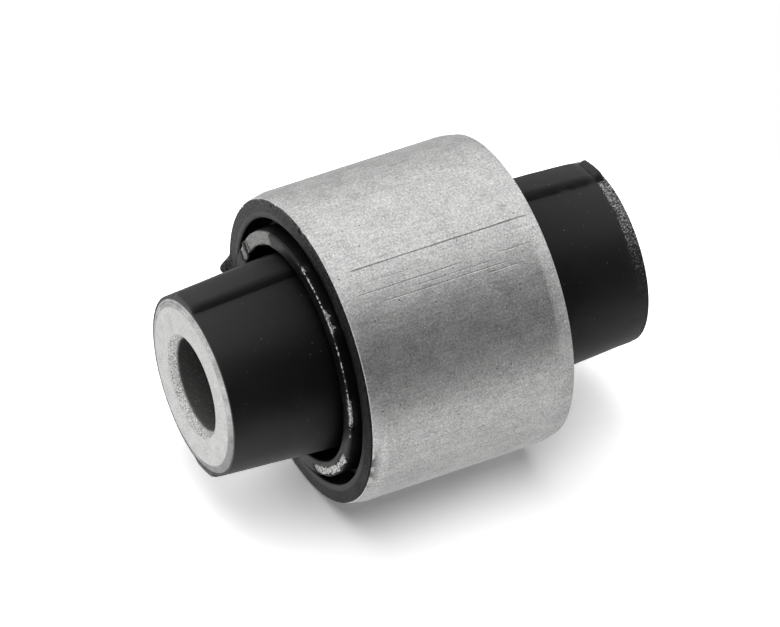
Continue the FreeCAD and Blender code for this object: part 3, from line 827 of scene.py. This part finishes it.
def wearEdges(co, faceLow, coatHigh):
    radius = np.hypot(co[:, 0], co[:, 1])
    polar = np.degrees(np.arctan2(co[:, 1], co[:, 0]))
    grow = np.zeros(len(co))

    # Tongue of flash on the lower film, and a frayed outer edge along one part of it
    film = (np.abs(co[:, 2] - faceLow) < flash["filmBand"]) & (radius > flash["tongueFrom"])
    away = np.abs(polar - flash["tonguePolar"]) / flash["tongueHalf"]
    tongue = (1 - ease(away, 0.1, 1)) * ease(radius, flash["tongueFrom"], rubber["filmRadius"] - 0.2)
    co[film, 2] -= (flash["tongueLength"] * tongue)[film]
    rimRadius = rubber["filmRadius"] - flash["frayWidth"]
    rim = np.where(film & (radius > rimRadius))[0]
    away = np.abs(polar[rim] - flash["frayPolar"])
    frayed = 1 - ease(away, flash["frayHalf"] - flash["fraySoft"], flash["frayHalf"])
    ragged = np.clip(noiseAt(co[rim], flash["fraySize"], 21) * 1.6 + 0.25, 0, 1)
    grow[rim] = -flash["fray"] * frayed * ragged * ease(radius[rim], rimRadius, rubber["filmRadius"])

    # Ragged upper edge of the coat over the spread end
    edge = np.where((co[:, 2] > coatHigh - flash["coatBand"]) & (co[:, 2] < coatHigh + 0.01)
                    & (radius > spreadRadius + 0.02) & (radius < rubber["endHigh"] + 0.1))[0]
    reach = flash["coatReach"] * ease(np.abs(polar[edge] - 90) + 90, flash["coatEdgeStart"], flash["coatEdgeFull"])
    ragged = noiseAt(co[edge], flash["raggedCoarse"], 5)
    ragged = ragged + flash["fineShare"] * noiseAt(co[edge], flash["raggedFine"], 6)
    co[edge, 2] = np.minimum(co[edge, 2] + reach + flash["coatRagged"] * ragged, ribHigh)

    # One upper rib keeps its height over the spread end, with a dip and a lump at the tip, and its flanks are rough
    coat = np.interp(co[:, 2], [sleeveHigh, coatHigh, coatHigh + rubber["coatStep"]],
                     [rubber["root"], rubber["endHigh"], spreadRadius - rubber["underSpread"]])
    rise = radius - coat
    lean = np.abs(np.abs(polar + rubber["ribLean"]) - 90)
    rib = np.where((co[:, 2] > sleeveHigh + 0.5) & (rise > 0.02) & (polar > 0)
                   & (lean < rubber["ribHalf"] + flash["ribMargin"]))[0]
    bump = flash["bump"] * np.exp(-((co[rib, 2] - flash["bumpHeight"]) / flash["bumpSpan"]) ** 2)
    bump -= flash["dip"] * np.exp(-((co[rib, 2] - flash["dipHeight"]) / flash["bumpSpan"]) ** 2)
    gain = (flash["tipRadius"] + bump - coat[rib]) / rubber["ribHeight"] - 1
    grow[rib] += rise[rib] * gain * ease(co[rib, 2], flash["tipFrom"], coatHigh)
    flank = np.sin(np.clip(rise[rib] / rubber["ribHeight"], 0, 1) * math.pi) + 0.25
    grow[rib] -= flash["ribLump"] * flank * np.clip(noiseAt(co[rib], flash["lumpSize"], 11) + 0.2, 0, 1)
    share = (radius + grow) / radius
    co[:, 0] *= share
    co[:, 1] *= share


def makeRubber():
    inner, outer = ringOuter - ring["wall"] - rubber["skin"], ringOuter + rubber["skin"]
    housing = sleeveRadius - outerSleeve["wall"]
    lining, film, root = housing - rubber["lining"], rubber["filmRadius"], rubber["root"]
    tube, hidden = innerSleeve["tube"] / 2, spreadRadius - rubber["underSpread"]
    faceLow, faceHigh = sleeveLow - rubber["film"], sleeveHigh + rubber["film"]
    coatHigh = tubeHigh - innerSleeve["spreadLength"]
    crestLow, crestHigh = ringLow - rubber["skin"], ringHigh + rubber["skin"]
    innerLow, innerHigh = faceLow + rubber["innerGroove"], faceHigh - rubber["innerGroove"]
    outerLow, outerHigh = faceLow + rubber["outerGroove"], faceHigh - rubber["outerGroove"]
    edge, crest, groove, bead = rubber["edge"], rubber["crestEdge"], rubber["grooveEdge"], rubber["liningEdge"]
    half = [(tube, rubberLow, 0), (rubber["endLow"], rubberLow, edge, 0.6), (root, faceLow, 0, 1.0),
            (root, innerLow, groove), (inner, innerLow, groove, 0.9), (inner, crestLow, crest, 0.18),
            (outer, crestLow, crest, 0.5), (outer, outerLow, groove), (lining, outerLow, groove, 1.2),
            (lining, faceLow, bead, 0.2), (film, faceLow, 0.1), (film, sleeveLow, 0), (housing, sleeveLow, 0)]
    other = [(housing, sleeveHigh, 0), (rubber["farFilmFoot"], sleeveHigh, 0),
             (rubber["farFilmTop"], faceHigh, 0.1, 0.25), (lining, faceHigh, bead, 1.2),
             (lining, outerHigh, groove), (outer, outerHigh, groove, 0.5),
             (outer, crestHigh, crest, 0.2), (inner, crestHigh, crest, 0.9), (inner, innerHigh, groove),
             (root, innerHigh, groove, 1.0), (root, faceHigh, 0, 0.6), (rubber["endHigh"], coatHigh, edge),
             (hidden, coatHigh + rubber["coatStep"], 0, 0.18), (hidden, ribHigh, 0), (tube, ribHigh, 0)]
    gap = rubber["ribFloorGap"]
    piece = turn("rubberBody", half + other, {
        "Steps": rubber["steps"], "Rib Height": rubber["ribHeight"] * mm,
        "Rib Lean": math.radians(rubber["ribLean"]), "Rib Half": math.radians(rubber["ribHalf"]),
        "Rib Flat": math.radians(rubber["ribFlat"]), "Rib Low": rubberLow * mm, "Rib High": ribHigh * mm,
        "Rib End": rubber["ribEnd"] * mm, "Recess Low": (innerLow - gap) * mm, "Recess High": (innerHigh + gap) * mm,
        "Coat Limit": (root + rubber["coatSlack"]) * mm, "Wave Height": rubber["waveHeight"] * mm,
        "Wave Size": rubber["waveSize"] * mm, "Seed": rubber["seed"], "Finish": mouldedRubber()})
    mesh = piece.data
    co = np.zeros(len(mesh.vertices) * 3)
    mesh.vertices.foreach_get("co", co)
    normals = np.array([v.normal for v in mesh.vertices])
    co = co.reshape(-1, 3) / mm
    tearSkin(co, normals, crestLow, 1, lowerTears, 3)
    tearSkin(co, normals, crestHigh, -1, upperTears, 7)
    wearEdges(co, faceLow, coatHigh)
    mesh.vertices.foreach_set("co", (co * mm).ravel())
    mesh.update()
    finishPiece(piece, "rubber_body")


makeRubber()

bpy.context.scene.view_settings.view_transform = "Standard"
